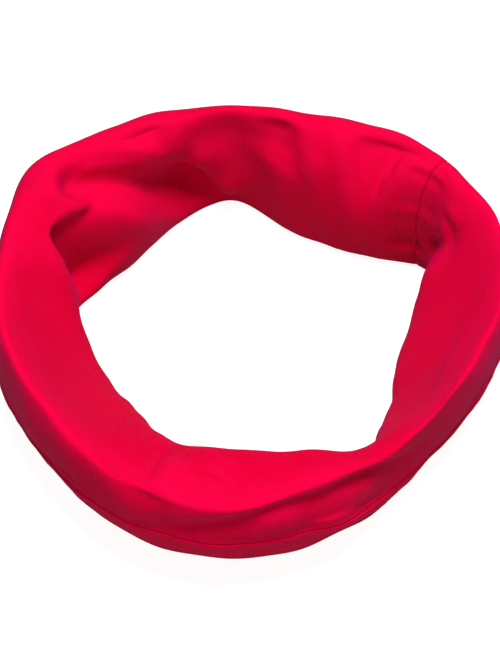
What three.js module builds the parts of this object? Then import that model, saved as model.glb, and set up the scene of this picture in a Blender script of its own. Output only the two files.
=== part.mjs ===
// Sports headband: one knitted strip sewn into a soft tube, and the tube's ends sewn into a loop.
// Units are millimetres. +Z is up and the loop rests on z = 0, its axis along Z.
// Azimuth is measured about Z from +X, towards +Y; the wearer's forehead side is at -Y.
//
// The strip's two long edges meet in a seam round the outer face. Their allowances turn in and
// lie flat below it, right sides together. The strip's two ends meet in the cross seam, and
// turn into the tube as two flanges.

import * as THREE from 'three';

// ---- driving dimensions ----------------------------------------------------------------

const HEAD_HOLE_LENGTH = 366;     // round the free edge of the head hole, at rest
const BAND_HEIGHT = 48;           // tallest place of the band as it stands
const ROLL_DEPTH = 31;            // hole to outer face where the tube is at its roundest
const FOOT_WIDTH = 3;             // flat strip that the band rests on
const HOLE_LEVEL = 0.46;          // where the hole is narrowest, as a share of local height
const BELLY_LEVEL = 0.5;          // where the outer face is widest, as a share of local height

const CLOTH_THICKNESS = 0.8;      // double-face polyester and elastane knit
const LONG_ALLOWANCE = 6;         // width of the overlocked edges inside the tube
const CROSS_ALLOWANCE = 6;        // depth of the flanges at the cross seam
const LAYER_GAP = 0.4;            // air between layers of cloth that lie on each other
const SEAM_GROOVE = 0.4;          // open width of the groove where two edges turn in

const CROSS_SEAM_AZIMUTH = 37;    // back right
const CLOSING_LENGTH = 60;        // turning gap of the long seam, closed last

const THREAD_DIAMETER = 0.5;
const THREAD_CLEARANCE = 0.45;    // from a thread's side to the cloth
const NEEDLE_LINE = 1.4;          // needle line to fold, long seam
const CROSS_NEEDLE_LINE = 3.6;    // needle line to fold, cross seam
const CROSS_LOOPER_LINE = 5.7;    // looper line to fold, cross seam
const THREAD_END_GAP = 3;         // from a long thread's end to the cross seam
const LAYERS_CLEARANCE = 2.4;     // from a cross thread's end to the long seam's layers

const LOOP_STEPS = 68;            // facets round the loop
const QUARTER_STEPS = 6;          // facets in each quarter of the tube's section
const THREAD_SIDES = 6;

// The tube's section at stations round the loop. hole is the radius of the free edge of the
// hole in millimetres before it is scaled to HEAD_HOLE_LENGTH. foot, crest and belly are how
// far out from the hole the resting line, the top line and the outermost line lie, as shares
// of ROLL_DEPTH. rise is the top line's height as a share of BAND_HEIGHT.
const STATIONS = [
  { azimuth: 0, hole: 49, foot: 0.29, crest: 0.77, belly: 1.0, rise: 0.92 },
  { azimuth: 18, hole: 55.5, foot: 0.27, crest: 0.63, belly: 0.89, rise: 0.97 },
  { azimuth: 34, hole: 68, foot: 0.16, crest: 0.27, belly: 0.5, rise: 0.99 },
  { azimuth: 47, hole: 59.5, foot: 0.16, crest: 0.47, belly: 0.75, rise: 1.0 },
  { azimuth: 60, hole: 56, foot: 0.12, crest: 0.48, belly: 0.81, rise: 0.99 },
  { azimuth: 78, hole: 60, foot: 0.11, crest: 0.31, belly: 0.63, rise: 0.97 },
  { azimuth: 95, hole: 67.5, foot: 0.15, crest: 0.1, belly: 0.4, rise: 0.96 },
  { azimuth: 112, hole: 62.5, foot: 0.13, crest: 0.29, belly: 0.65, rise: 0.97 },
  { azimuth: 130, hole: 58, foot: 0.12, crest: 0.56, belly: 0.89, rise: 0.98 },
  { azimuth: 147, hole: 57.5, foot: 0.11, crest: 0.73, belly: 1.0, rise: 0.97 },
  { azimuth: 161, hole: 60.5, foot: 0.13, crest: 0.53, belly: 0.74, rise: 0.91 },
  { azimuth: 177, hole: 53.5, foot: 0.35, crest: 0.65, belly: 0.85, rise: 0.9 },
  { azimuth: 197, hole: 48, foot: 0.35, crest: 0.74, belly: 0.95, rise: 0.9 },
  { azimuth: 222, hole: 47, foot: 0.35, crest: 0.71, belly: 0.95, rise: 0.9 },
  { azimuth: 244, hole: 53, foot: 0.26, crest: 0.5, belly: 0.83, rise: 0.92 },
  { azimuth: 264, hole: 52.5, foot: 0.24, crest: 0.52, belly: 0.88, rise: 0.93 },
  { azimuth: 286, hole: 54.5, foot: 0.19, crest: 0.39, belly: 0.68, rise: 0.87 },
  { azimuth: 307, hole: 61.5, foot: 0.12, crest: 0.16, belly: 0.27, rise: 0.73 },
  { azimuth: 320, hole: 53.5, foot: 0.22, crest: 0.37, belly: 0.5, rise: 0.83 },
  { azimuth: 338, hole: 47.5, foot: 0.32, crest: 0.63, belly: 0.81, rise: 0.89 },
];

// ---- colours and finishes --------------------------------------------------------------

const knit = new THREE.MeshStandardMaterial({ color: 0xfb0452, roughness: 0.82, metalness: 0 });
const thread = new THREE.MeshStandardMaterial({ color: 0xd9064a, roughness: 0.6, metalness: 0 });

// ---- the tube's outer face -------------------------------------------------------------

/** Value of one station column at any azimuth: a smooth closed curve through the stations. */
function along(column, azimuth) {
  const count = STATIONS.length;
  const wrapped = ((azimuth % 360) + 360) % 360;
  const from = STATIONS.findLastIndex((station) => station.azimuth <= wrapped);
  const at = (index) => {
    const turn = Math.floor(index / count);
    const station = STATIONS[index - turn * count];
    return { x: station.azimuth + 360 * turn, y: station[column] };
  };
  const [before, start, end, after] = [from - 1, from, from + 1, from + 2].map(at);
  const slope = (p, q) => (q.y - p.y) / (q.x - p.x);
  const tangent = (p, q, r) => (slope(p, q) * (r.x - q.x) + slope(q, r) * (q.x - p.x)) / (r.x - p.x);
  const span = end.x - start.x;
  const t = (wrapped - start.x) / span;
  const startRise = span * tangent(before, start, end) * t * (1 - t) * (1 - t);
  const endRise = span * tangent(start, end, after) * t * t * (t - 1);
  const share = t * t * (3 - 2 * t);
  return start.y * (1 - share) + end.y * share + startRise + endRise;
}

/** Length of the hole's free edge at the stations' own radii. */
function stationHoleLength() {
  const corners = [];
  for (let azimuth = 0; azimuth <= 360; azimuth += 1) {
    const angle = THREE.MathUtils.degToRad(azimuth);
    const radius = along('hole', azimuth);
    corners.push(new THREE.Vector2(radius * Math.cos(angle), radius * Math.sin(angle)));
  }
  return corners.slice(1).reduce((sum, corner, i) => sum + corner.distanceTo(corners[i]), 0);
}

const HOLE_SCALE = HEAD_HOLE_LENGTH / stationHoleLength();

/** The section's named places at an azimuth, as radii from Z and heights. */
function sectionAt(azimuth) {
  const hole = along('hole', azimuth) * HOLE_SCALE;
  const height = along('rise', azimuth) * BAND_HEIGHT;
  return {
    hole,
    foot: hole + along('foot', azimuth) * ROLL_DEPTH,
    crest: hole + along('crest', azimuth) * ROLL_DEPTH,
    belly: hole + along('belly', azimuth) * ROLL_DEPTH,
    height,
    holeLevel: HOLE_LEVEL * height,
    bellyLevel: BELLY_LEVEL * height,
  };
}

// Places round the section are told by girth, from 0 to 4, one unit for each quarter:
// 0 foot, 1 hole, 2 crest, 3 belly and 4 the foot again, its outer corner.
const FULL_GIRTH = 4;
const SEAM_GIRTH = 3;
const LAYER_PITCH = CLOTH_THICKNESS + LAYER_GAP;

/** Girth of a place some millimetres below the seam line. */
function belowSeam(section, millimetres) {
  return SEAM_GIRTH + millimetres / (section.bellyLevel * Math.PI / 2);
}

/** A point of the section, depth millimetres inside the outer face, as radius and height. */
function sectionPoint(section, girth, depth) {
  const quarter = Math.min(Math.floor(girth), FULL_GIRTH - 1);
  const turn = (girth - quarter) * Math.PI / 2;
  const halfFoot = FOOT_WIDTH / 2;
  const [sin, cos] = [Math.sin(turn), Math.cos(turn)];
  const arc = [
    [section.foot - halfFoot, section.holeLevel, section.hole, 0, -sin, -cos],
    [section.crest, section.holeLevel, section.hole, section.height, -cos, sin],
    [section.crest, section.bellyLevel, section.belly, section.height, sin, cos],
    [section.foot + halfFoot, section.bellyLevel, section.belly, 0, cos, -sin],
  ][quarter];
  const [centreRadius, centreHeight, edgeRadius, edgeHeight, across, up] = arc;
  const wide = Math.abs(edgeRadius - centreRadius);
  const tall = Math.abs(edgeHeight - centreHeight);
  const outward = new THREE.Vector2(across * tall, up * wide).normalize();
  const face = new THREE.Vector2(centreRadius + across * wide, centreHeight + up * tall);
  return face.addScaledVector(outward, -depth);
}

/** A point moved a distance towards the section's middle. */
function inset(point, section, distance) {
  const middle = new THREE.Vector2((section.hole + section.belly) / 2, section.height / 2);
  const toMiddle = middle.sub(point);
  return point.clone().addScaledVector(toMiddle.normalize(), distance);
}

/** A section point in space, moved sideways along the loop by shift millimetres. */
function inSpace(point, azimuth, shift) {
  const angle = THREE.MathUtils.degToRad(azimuth);
  const place = new THREE.Vector3(point.x * Math.cos(angle), point.x * Math.sin(angle), point.y);
  return place.addScaledVector(new THREE.Vector3(-Math.sin(angle), Math.cos(angle), 0), shift);
}

// ---- the knitted strip -----------------------------------------------------------------

/** Azimuths of the facets' corners, from one side of the cross seam round to the other. */
const WALL_AZIMUTHS = Array.from(
  { length: LOOP_STEPS - 1 },
  (_, i) => CROSS_SEAM_AZIMUTH + 360 * (i + 1) / LOOP_STEPS,
);

/** The cloth across its width, edge to edge: for each place, girth and depth of both faces. */
function clothAcross(section) {
  const lowerTop = belowSeam(section, SEAM_GROOVE / 2);
  const upperTop = belowSeam(section, -SEAM_GROOVE / 2);
  const lowerInside = belowSeam(section, SEAM_GROOVE / 2 + CLOTH_THICKNESS);
  const upperInside = belowSeam(section, -SEAM_GROOVE / 2 - CLOTH_THICKNESS);
  const rawEdge = belowSeam(section, LONG_ALLOWANCE);
  const lowerFold = LAYER_PITCH + CLOTH_THICKNESS;
  const upperFold = 2 * LAYER_PITCH;
  const places = [
    { right: [rawEdge, lowerFold], wrong: [rawEdge, LAYER_PITCH] },
    { right: [lowerTop, lowerFold], wrong: [lowerInside, LAYER_PITCH] },
    { right: [lowerTop, 0], wrong: [lowerInside, CLOTH_THICKNESS] },
  ];
  const wall = (girth) => places.push({ right: [girth, 0], wrong: [girth, CLOTH_THICKNESS] });
  for (let step = 1; step <= QUARTER_STEPS; step += 1) {
    wall(SEAM_GIRTH + step / QUARTER_STEPS);
  }
  for (let step = 0; step < SEAM_GIRTH * QUARTER_STEPS; step += 1) {
    wall(step / QUARTER_STEPS);
  }
  places.push(
    { right: [upperTop, 0], wrong: [upperInside, CLOTH_THICKNESS] },
    { right: [upperTop, upperFold], wrong: [upperInside, upperFold + CLOTH_THICKNESS] },
    { right: [rawEdge, upperFold], wrong: [rawEdge, upperFold + CLOTH_THICKNESS] },
  );
  return places;
}

/** Places along the strip from one raw end to the other, its turned-in ends included. */
function clothAlong() {
  const walls = WALL_AZIMUTHS.map((azimuth) => ({ azimuth, side: 0, turned: false }));
  const flange = (side, turned) => ({ azimuth: CROSS_SEAM_AZIMUTH, side, turned });
  return [flange(1, true), flange(1, false), ...walls, flange(-1, false), flange(-1, true)];
}

/** A point of the strip in space. At an end, each layer turns in behind the one outside it. */
function stripPoint(station, girth, depth) {
  const section = sectionAt(station.azimuth);
  const turnedIn = station.turned ? CROSS_ALLOWANCE - depth : 0;
  const shift = station.side * (SEAM_GROOVE / 2 + depth);
  return inSpace(inset(sectionPoint(section, girth, depth), section, turnedIn), station.azimuth, shift);
}

/** The strip as one closed body: right side, wrong side and the four raw edges between. */
function knitStripGeometry() {
  const stations = clothAlong();
  const width = clothAcross(sectionAt(0)).length;
  const positions = [];
  for (const face of ['right', 'wrong']) {
    for (const station of stations) {
      for (const place of clothAcross(sectionAt(station.azimuth))) {
        positions.push(...stripPoint(station, ...place[face]).toArray());
      }
    }
  }
  const layerSize = stations.length * width;
  const index = (face, station, place) => face * layerSize + station * width + place;
  const triangles = [];
  const quad = (a, b, c, d) => triangles.push(a, b, c, a, c, d);
  for (let s = 0; s + 1 < stations.length; s += 1) {
    for (let p = 0; p + 1 < width; p += 1) {
      quad(index(0, s, p), index(0, s, p + 1), index(0, s + 1, p + 1), index(0, s + 1, p));
      quad(index(1, s, p), index(1, s + 1, p), index(1, s + 1, p + 1), index(1, s, p + 1));
    }
    const last = width - 1;
    quad(index(0, s, 0), index(0, s + 1, 0), index(1, s + 1, 0), index(1, s, 0));
    quad(index(0, s, last), index(1, s, last), index(1, s + 1, last), index(0, s + 1, last));
  }
  const end = stations.length - 1;
  for (let p = 0; p + 1 < width; p += 1) {
    quad(index(0, 0, p), index(1, 0, p), index(1, 0, p + 1), index(0, 0, p + 1));
    quad(index(0, end, p), index(0, end, p + 1), index(1, end, p + 1), index(1, end, p));
  }
  const geometry = new THREE.BufferGeometry();
  geometry.setAttribute('position', new THREE.Float32BufferAttribute(positions, 3));
  geometry.setIndex(triangles);
  geometry.computeVertexNormals();
  return geometry;
}

// ---- the sewing threads ----------------------------------------------------------------

const THREAD_RADIUS = THREAD_DIAMETER / 2;
const THREAD_STANDOFF = THREAD_CLEARANCE + THREAD_RADIUS;

/** A thread's line: straight from each of its points to the next. */
class ThreadLine extends THREE.Curve {
  constructor(points) {
    super();
    this.points = points;
  }

  getPoint(t, target = new THREE.Vector3()) {
    const place = t * (this.points.length - 1);
    const index = Math.min(Math.floor(place), this.points.length - 2);
    return target.lerpVectors(this.points[index], this.points[index + 1], place - index);
  }

  getUtoTmapping(u) {
    return u;
  }
}

/** A thread as a slim round cord through points. */
function threadGeometry(points) {
  const outline = new THREE.Shape(Array.from({ length: THREAD_SIDES }, (_, i) => {
    const angle = 2 * Math.PI * i / THREAD_SIDES;
    return new THREE.Vector2(THREAD_RADIUS * Math.cos(angle), THREAD_RADIUS * Math.sin(angle));
  }));
  const extrudePath = new ThreadLine(points);
  const steps = points.length - 1;
  return new THREE.ExtrudeGeometry(outline, { extrudePath, steps, bevelEnabled: false });
}

/** Azimuth at which the long seam lies some millimetres past the cross seam. */
function azimuthPastCrossSeam(millimetres) {
  const radius = sectionAt(CROSS_SEAM_AZIMUTH).belly;
  return CROSS_SEAM_AZIMUTH + THREE.MathUtils.radToDeg(millimetres / radius);
}

/** Points along the loop, millimetres below the seam line and at a depth in the tube. */
function alongSeam(startAzimuth, endAzimuth, millimetres, depth) {
  const azimuths = WALL_AZIMUTHS.filter((azimuth) => azimuth > startAzimuth && azimuth < endAzimuth);
  return azimuths.map((azimuth) => {
    const section = sectionAt(azimuth);
    return inSpace(sectionPoint(section, belowSeam(section, millimetres), depth), azimuth, 0);
  });
}

/** Points round the tube on the wrong side of one flange, inset from the fold. */
function roundCrossSeam(side, insetDepth) {
  const section = sectionAt(CROSS_SEAM_AZIMUTH);
  const shift = side * (SEAM_GROOVE / 2 + CLOTH_THICKNESS + THREAD_STANDOFF);
  const start = belowSeam(section, LONG_ALLOWANCE + LAYERS_CLEARANCE) - FULL_GIRTH;
  const end = belowSeam(section, -LAYERS_CLEARANCE);
  const steps = FULL_GIRTH * QUARTER_STEPS;
  return Array.from({ length: steps + 1 }, (_, i) => {
    const girth = start + (end - start) * i / steps;
    const point = sectionPoint(section, girth < 0 ? girth + FULL_GIRTH : girth, 0);
    return inSpace(inset(point, section, insetDepth), CROSS_SEAM_AZIMUTH, shift);
  });
}

const closingStart = azimuthPastCrossSeam(THREAD_END_GAP);
const closingEnd = azimuthPastCrossSeam(THREAD_END_GAP + CLOSING_LENGTH);
const overlockStart = azimuthPastCrossSeam(2 * THREAD_END_GAP + CLOSING_LENGTH);
const overlockEnd = azimuthPastCrossSeam(-THREAD_END_GAP) + 360;
const pastRawEdge = LONG_ALLOWANCE + THREAD_STANDOFF;

const lowerMiddle = LAYER_PITCH + CLOTH_THICKNESS / 2;
const upperMiddle = 2 * LAYER_PITCH + CLOTH_THICKNESS / 2;
const upperFace = 2 * LAYER_PITCH + CLOTH_THICKNESS;

// ---- assembly --------------------------------------------------------------------------

const headband = new THREE.Group();

/** Adds one named piece to the headband, with its own copy of its finish. */
function addPiece(name, geometry, finish) {
  const mesh = new THREE.Mesh(geometry, finish.clone());
  mesh.name = name;
  headband.add(mesh);
}

/** Adds one sewing thread that follows points. */
function addThread(name, points) {
  addPiece(name, threadGeometry(points), thread);
}

addPiece('knit_strip', knitStripGeometry(), knit);

addThread('long_seam_needle_thread',
  alongSeam(overlockStart, overlockEnd, NEEDLE_LINE, upperFace + THREAD_STANDOFF));
addThread('long_seam_upper_looper_thread',
  alongSeam(overlockStart, overlockEnd, pastRawEdge, upperMiddle));
addThread('long_seam_lower_looper_thread',
  alongSeam(overlockStart, overlockEnd, pastRawEdge, lowerMiddle));

addThread('cross_seam_needle_thread', roundCrossSeam(1, CROSS_NEEDLE_LINE));
addThread('cross_seam_upper_looper_thread', roundCrossSeam(1, CROSS_LOOPER_LINE));
addThread('cross_seam_lower_looper_thread', roundCrossSeam(-1, CROSS_LOOPER_LINE));

addThread('closing_thread', alongSeam(closingStart, closingEnd, 0, -THREAD_STANDOFF));

// The origin is under the middle of the headband, on the surface that it rests on.
const box = new THREE.Box3().setFromObject(headband);
const middle = box.getCenter(new THREE.Vector3());
headband.position.set(-middle.x, -middle.y, -box.min.z);

export default headband;
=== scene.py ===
"""Sports headband: a knitted strip sewn into a soft tube and the tube into a loop.

The strip is drawn flat, as it is cut, then rolled, turned in at its four edges and folded as
the loose cloth lies. Its overlock threads follow it inside the tube. Everything is in metres,
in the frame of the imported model: +Z up, the band standing on z = 0, its front towards -Y.
"""

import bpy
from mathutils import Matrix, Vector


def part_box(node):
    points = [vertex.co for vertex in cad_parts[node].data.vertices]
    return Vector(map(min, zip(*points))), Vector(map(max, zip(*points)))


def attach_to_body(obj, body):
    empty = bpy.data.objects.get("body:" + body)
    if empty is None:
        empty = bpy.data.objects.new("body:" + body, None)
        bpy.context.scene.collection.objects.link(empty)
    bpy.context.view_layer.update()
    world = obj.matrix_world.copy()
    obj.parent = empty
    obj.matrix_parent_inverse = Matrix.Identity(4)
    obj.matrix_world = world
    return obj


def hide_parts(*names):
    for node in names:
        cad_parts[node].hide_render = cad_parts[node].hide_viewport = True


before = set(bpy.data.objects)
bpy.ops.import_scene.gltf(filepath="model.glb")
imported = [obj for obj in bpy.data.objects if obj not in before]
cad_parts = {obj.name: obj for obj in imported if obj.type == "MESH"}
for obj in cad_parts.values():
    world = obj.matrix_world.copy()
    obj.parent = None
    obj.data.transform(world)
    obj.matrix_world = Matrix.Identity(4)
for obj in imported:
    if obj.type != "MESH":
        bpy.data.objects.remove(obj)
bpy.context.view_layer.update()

import logging
import math
from dataclasses import dataclass, field
from enum import Enum

import bpy
import numpy as np
from mathutils import Vector

logging.basicConfig(level=logging.INFO, format="%(levelname)s %(name)s: %(message)s")
log = logging.getLogger("headband")

MM = 0.001
FULL_TURN = 360.0
FULL_GIRTH = 4.0
ROOT = "root"
KNIT_SLOT = "knit_fabric"
THREAD_SLOT = "sewing_thread"
STRIP_NODE = "knit_strip"
# Attribute of how much the knit is lightened: wear where the cloth curves sharply, and a painted
# highlight that grows towards the top.
WEAR_AND_HIGHLIGHT = "wear_and_highlight"

# The face of the band in metres of cloth, for the widths of folds.
AZIMUTH_METRES = 0.00125
GIRTH_METRES = 0.029
LOOP_METRES = FULL_TURN * AZIMUTH_METRES
ROUND_METRES = FULL_GIRTH * GIRTH_METRES
# Steps in each span of a fold's line, and the widths past which a fold moves nothing.
FOLD_STEPS = 8
FOLD_REACH = 2.6
# Places round a corner of the section, in units of softness, and what each one counts.
ROUNDING = ((-1.8, 0.07), (-1.2, 0.12), (-0.6, 0.2), (0.0, 0.22), (0.6, 0.2), (1.2, 0.12),
            (1.8, 0.07))
# Both parts of a straight inner wall's normal.
WALL_LEAN = 0.7
# Steps to either side over which the cloth's slope is taken, in girth and in azimuth.
GIRTH_STEP = 0.01
AZIMUTH_STEP = 0.25


def smooth_step(share: np.ndarray) -> np.ndarray:
    """A smooth rise from 0 at 0 to 1 at 1, level outside."""
    t = np.clip(share, 0.0, 1.0)
    return t * t * (3 - 2 * t)


def bell(offset: np.ndarray, width: float | np.ndarray) -> np.ndarray:
    """A bell from 1 at no offset down to 0 a few widths away."""
    return np.exp(-((offset / width) ** 2))


def nearest_way(offset: np.ndarray, circuit: float) -> np.ndarray:
    """An offset on a closed circuit, taken the shorter way round."""
    return np.mod(offset + circuit / 2, circuit) - circuit / 2


# ---- form of the rolled band -------------------------------------------------------------


@dataclass(frozen=True)
class Station:
    """The tube's section at one azimuth.

    hole is the radius of the hole's free edge. foot, crest and belly are how far out from it
    the resting line, the top line and the outermost line lie, as shares of the roll's depth.
    rise is the top line's height as a share of the band's height, and waist the outermost
    line's height as a share of the top line's. slope is the inner wall's form: 0 for a full
    round, 1 for a straight slope and more for a hollow one. seam is the girth at which the
    long seam lies, and lip the height of the hole's narrowest line as a share of the top
    line's.
    """

    azimuth: float
    hole: float
    foot: float
    crest: float
    belly: float
    rise: float
    waist: float = 0.56
    slope: float = 0.4
    seam: float = 3.0
    lip: float = 0.46


STATIONS = (
    Station(0, 0.0459, 0.41, 0.954, 1.12, 0.92, slope=1.2, lip=0.16),
    Station(18, 0.0553, 0.323, 0.744, 0.893, 0.97, slope=1.0, lip=0.26),
    Station(34, 0.0684, 0.158, 0.208, 0.448, 0.99, slope=0.1),
    Station(47, 0.0577, 0.212, 0.522, 0.792, 1.0, slope=0.2),
    Station(60, 0.0549, 0.124, 0.484, 0.814, 0.99, slope=0.2),
    Station(78, 0.0575, 0.126, 0.346, 0.646, 0.97, slope=0.1),
    Station(95, 0.0676, 0.185, 0.085, 0.395, 0.96, slope=0.0, lip=0.54),
    Station(112, 0.0616, 0.186, 0.296, 0.676, 0.97, slope=0.0, lip=0.54),
    Station(130, 0.0547, 0.186, 0.606, 0.956, 0.98, slope=0.0, lip=0.54),
    Station(147, 0.0563, 0.116, 0.756, 1.006, 0.97, slope=0.1, lip=0.54),
    Station(161, 0.0588, 0.162, 0.592, 0.782, 0.92, slope=0.3),
    Station(177, 0.0498, 0.446, 0.804, 0.956, 0.9, slope=1.1, lip=0.2),
    Station(197, 0.042, 0.549, 1.021, 1.179, 0.9, waist=0.58, slope=1.25, seam=3.04, lip=0.14),
    Station(222, 0.0416, 0.515, 1.021, 1.185, 0.88, waist=0.62, slope=1.25, seam=3.08, lip=0.34),
    Station(244, 0.0484, 0.433, 0.942, 1.063, 0.85, waist=0.64, slope=0.9, lip=0.6),
    Station(264, 0.05, 0.331, 0.931, 1.021, 0.83, waist=0.64, slope=0.5, lip=0.74),
    Station(286, 0.055, 0.221, 0.571, 0.701, 0.85, waist=0.6, slope=0.3, lip=0.74),
    Station(307, 0.0571, 0.185, 0.415, 0.425, 0.74, waist=0.66, slope=0.4, seam=3.2, lip=0.6),
    Station(320, 0.0503, 0.27, 0.65, 0.66, 0.83, waist=0.7, slope=0.9, seam=3.3, lip=0.32),
    Station(338, 0.0466, 0.364, 0.787, 0.894, 0.89, waist=0.62, slope=1.2, seam=3.12, lip=0.18),
)


@dataclass(frozen=True)
class Fold:
    """A valley or a ridge in the cloth, along a smooth line on the band's face.

    path holds (azimuth, girth) places. height is how far the cloth stands out at the line,
    below zero for a valley. left and right are its widths to either side of somebody who
    walks along the path with azimuth to the east and girth to the north. spread is how much
    wider the fold is at its end than at its start. It fades in and out over fade, a share of
    its length.
    """

    name: str
    path: tuple[tuple[float, float], ...]
    height: float
    left: float
    right: float
    spread: float = 1.0
    fade: float = 0.35

    def line(self) -> np.ndarray:
        """Points of the fold's smooth line in metres of cloth, azimuth by girth."""
        knots = np.array(self.path) * (AZIMUTH_METRES, GIRTH_METRES)
        knots = np.concatenate([2 * knots[:1] - knots[1:2], knots, 2 * knots[-1:] - knots[-2:-1]])
        t = np.linspace(0.0, 1.0, FOLD_STEPS, endpoint=False)[:, None]
        spans = []
        for p0, p1, p2, p3 in zip(knots, knots[1:], knots[2:], knots[3:]):
            bend, twist = 2 * p0 - 5 * p1 + 4 * p2 - p3, 3 * (p1 - p2) + p3 - p0
            spans.append(0.5 * (2 * p1 + (p2 - p0) * t + bend * t**2 + twist * t**3))
        return np.concatenate(spans + [knots[-2:-1]])

    def stand(self, azimuth: np.ndarray, girth: np.ndarray) -> np.ndarray:
        """How far this fold moves the cloth outwards at each place.

        Args:
            azimuth: Azimuths in degrees.
            girth: Places round the section.

        Returns:
            The distance in metres, below zero into the tube.
        """
        line = self.line()
        middle = line.mean(axis=0)
        east = nearest_way(azimuth * AZIMUTH_METRES - middle[0], LOOP_METRES)
        north = nearest_way(girth * GIRTH_METRES - middle[1], ROUND_METRES)
        line = line - middle
        reach = FOLD_REACH * max(self.left, self.right) * max(self.spread, 1.0)
        far = np.abs(line).max(axis=0) + reach
        inside = (np.abs(east) < far[0]) & (np.abs(north) < far[1])
        out = np.zeros(east.shape)
        east, north = east[inside], north[inside]
        step = np.diff(line, axis=0)
        length = np.linalg.norm(step, axis=1)
        along = np.concatenate([[0.0], np.cumsum(length)])
        nearest, side, share = np.full(east.shape, np.inf), np.zeros_like(east), np.zeros_like(east)
        for start, move, size, before in zip(line, step, length, along):
            off_east, off_north = east - start[0], north - start[1]
            t = np.clip((off_east * move[0] + off_north * move[1]) / size**2, 0.0, 1.0)
            away = np.hypot(off_east - t * move[0], off_north - t * move[1])
            closer = away < nearest
            nearest = np.where(closer, away, nearest)
            side = np.where(closer, (move[0] * off_north - move[1] * off_east) / size, side)
            share = np.where(closer, (before + t * size) / along[-1], share)
        turn = 0.5 + 0.5 * np.tanh(side / (0.5 * min(self.left, self.right)))
        width = (self.left * turn + self.right * (1 - turn)) * (1 + (self.spread - 1) * share)
        ends = smooth_step(share / self.fade) * smooth_step((1 - share) / self.fade)
        out[inside] = self.height * ends * bell(nearest, width)
        return out


FOLDS = (
    # back left: the long V of the cloth and the ridges beside it
    Fold("long_valley", ((149.5, 1.83), (146.5, 1.68), (141.5, 1.51), (134.5, 1.35), (120.5, 1.01),
                         (110, 0.71), (102, 0.36)),
         -0.01, 0.0042, 0.01, 1.1, 0.16),
    Fold("rim_ledge", ((145, 1.97), (141, 1.79), (135, 1.65), (126.5, 1.46), (117.5, 1.31),
                       (109, 1.29)),
         0.0008, 0.005, 0.003, 1, 0.3),
    Fold("lower_ridge", ((151.5, 2.08), (151, 1.81), (148.5, 1.6), (145, 1.44), (142, 1.31)),
         0.002, 0.0036, 0.0075, 0.8, 0.3),
    Fold("ridge_end", ((139.5, 1.42), (141, 1.33), (142.5, 1.26)),
         -0.0008, 0.0016, 0.0016, 1, 0.4),
    # left: the pocket behind the side wall
    Fold("left_pocket", ((154.5, 1.56), (155.5, 1.37), (156, 1.11), (154.5, 0.77), (151.5, 0.36)),
         -0.009, 0.004, 0.014, 1.1, 0.16),
    Fold("left_lip", ((158, 1.82), (161.5, 1.6), (163.5, 1.35), (165, 1.1), (159.5, 0.48)),
         0.0016, 0.008, 0.003, 1, 0.4),
    # back: the step where the middle section stands in front of the left one
    Fold("back_step", ((109.5, 1.24), (105, 1.02), (100.5, 0.78), (96, 0.55), (93, 0.43)),
         0.0032, 0.0026, 0.009, 1, 0.3),
    Fold("back_pocket", ((112.5, 1.06), (106, 0.81), (101, 0.55), (96.5, 0.3)),
         -0.0036, 0.008, 0.0034, 1, 0.3),
    Fold("upper_dimple", ((119, 2), (120.5, 1.78), (123, 1.62)),
         -0.0028, 0.0042, 0.0042, 2.6, 0.4),
    Fold("shoulder_dimple", ((112, 1.51), (106, 1.47), (100, 1.33), (93.5, 1.17)),
         -0.001, 0.004, 0.008, 1.3),
    # back: middle and right
    Fold("middle_dimple", ((81.5, 1.93), (81, 1.7), (81, 1.41), (81.5, 1.16)),
         -0.003, 0.0044, 0.0044, 2.6, 0.4),
    Fold("right_hollow", ((62, 1.53), (55.5, 1.65), (49.5, 1.73), (45.5, 1.78), (42, 1.65)),
         -0.0038, 0.015, 0.007),
    Fold("right_swell", ((73, 1.16), (70, 1.36), (68.5, 1.59)),
         0.0009, 0.005, 0.005, 1, 0.4),
    # beside the cross seam
    Fold("seam_pocket", ((40, 0.89), (39, 0.76), (38.5, 0.59)),
         -0.0018, 0.004, 0.004, 1, 0.4),
    Fold("upper_pinch", ((36, 0.96), (31, 1.12), (26, 1.43), (26, 1.55)),
         0.0016, 0.003, 0.0018, 1, 0.3),
    Fold("lower_pinch", ((36, 0.78), (30.5, 0.99), (23.5, 1.42), (23, 1.59), (24.5, 1.68)),
         -0.0034, 0.0024, 0.0032, 1.5, 0.25),
    Fold("right_lip", ((26.5, 1.2), (25.5, 1.06), (22, 1.08), (18, 1.01)),
         0.0012, 0.0026, 0.007, 1, 0.4),
    # right
    Fold("right_streak", ((1, 1.75), (-13.5, 1.68), (-27, 1.7), (-39, 1.81)),
         0.0006, 0.0025, 0.0025),
    Fold("right_dimple", ((319, 2.07), (322, 2.04), (326.5, 1.97)),
         -0.0011, 0.0026, 0.0026, 1, 0.4),
    # front
    Fold("left_cheek", ((228.5, 1.8), (238, 1.98), (243.5, 2.19), (247.5, 2.29), (253.5, 2.27),
                        (258.5, 2.11), (262.5, 1.96)),
         -0.0016, 0.01, 0.008, 1, 0.4),
    Fold("cheek_swell", ((245, 1.68), (250.5, 1.67), (257, 1.79)),
         0.0024, 0.008, 0.008, 1, 0.45),
    Fold("cheek_curl", ((256, 1.52), (260.5, 1.56), (264.5, 1.68), (266, 1.84), (265.5, 1.99)),
         -0.0012, 0.0026, 0.0026, 1, 0.4),
    Fold("front_valley", ((243, 2.88), (248, 2.92), (253, 2.86), (260, 2.74), (266.5, 2.61),
                          (271.5, 2.47), (278, 2.42), (284.5, 2.46), (292, 2.48), (301, 2.56),
                          (310.5, 2.89), (319.5, 3.14)),
         -0.0026, 0.006, 0.005, 1, 0.25),
    Fold("lower_bulge", ((280.5, 2.92), (287, 2.99), (295.5, 3.14), (304.5, 3.29), (310.5, 3.32)),
         0.0016, 0.004, 0.004, 1, 0.3),
)


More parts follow.
